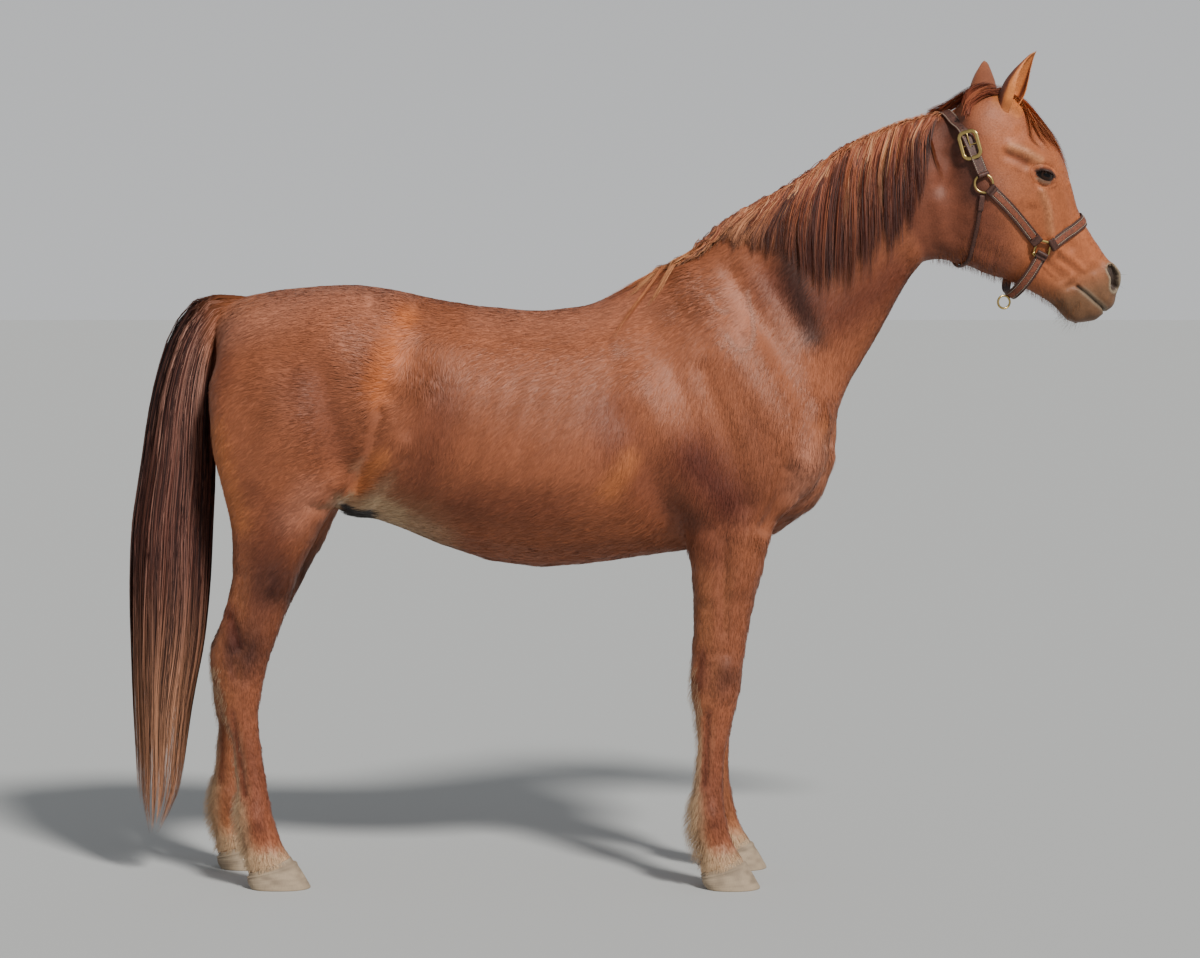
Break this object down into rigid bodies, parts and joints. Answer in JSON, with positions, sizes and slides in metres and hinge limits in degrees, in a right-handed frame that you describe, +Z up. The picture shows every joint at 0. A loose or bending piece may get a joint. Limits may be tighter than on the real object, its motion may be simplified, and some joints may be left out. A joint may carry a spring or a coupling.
{
  "type": "horse",
  "caption": "Life-size still model of a standing chestnut Arabian horse wearing a leather halter, on its own four hooves.",
  "frame": {"origin": "on the floor, in the middle of the bottom of the model's bounding box, between the hooves", "axes": "+X towards the horse's chest, +Y towards its left side, +Z up"},
  "size_m": [2.3622, 0.516, 1.9561],
  "materials": {
    "coat": "short glossy fur",
    "long_hair": "coarse long hair in locks",
    "hoof_horn": "worn horn with growth rings",
    "eye": "wet gloss",
    "halter_leather": "oiled stitched leather",
    "halter_brass": "polished, slightly dulled"
  },
  "bodies": {
    "root": {"head": "coat", "neck": "coat", "forequarters": "coat", "barrel": "coat", "hindquarters": "coat", "fore_right_forearm": "coat", "fore_right_cannon": "coat", "fore_right_pastern": "coat", "fore_left_forearm": "coat", "fore_left_cannon": "coat", "fore_left_pastern": "coat", "hind_right_gaskin": "coat", "hind_right_cannon": "coat", "hind_right_pastern": "coat", "hind_left_gaskin": "coat", "hind_left_cannon": "coat", "hind_left_pastern": "coat", "ear_right": "coat", "ear_left": "coat", "tail_dock": "coat", "fore_right_hoof": "hoof_horn", "fore_left_hoof": "hoof_horn", "hind_right_hoof": "hoof_horn", "hind_left_hoof": "hoof_horn", "mane": "long_hair", "forelock": "long_hair", "tail_hair_upper": "long_hair", "tail_hair_lower": "long_hair", "eye_right": "eye", "eye_left": "eye", "halter_crown": "halter_leather", "halter_noseband": "halter_leather", "halter_throatlatch": "halter_leather", "halter_cheek_right": "halter_leather", "halter_cheek_left": "halter_leather", "halter_chin_strap": "halter_leather", "halter_ring_right": "halter_brass", "halter_ring_left": "halter_brass", "halter_square_right": "halter_brass", "halter_square_left": "halter_brass", "halter_chin_ring": "halter_brass", "halter_buckle": "halter_brass"}
  },
  "joints": []
}
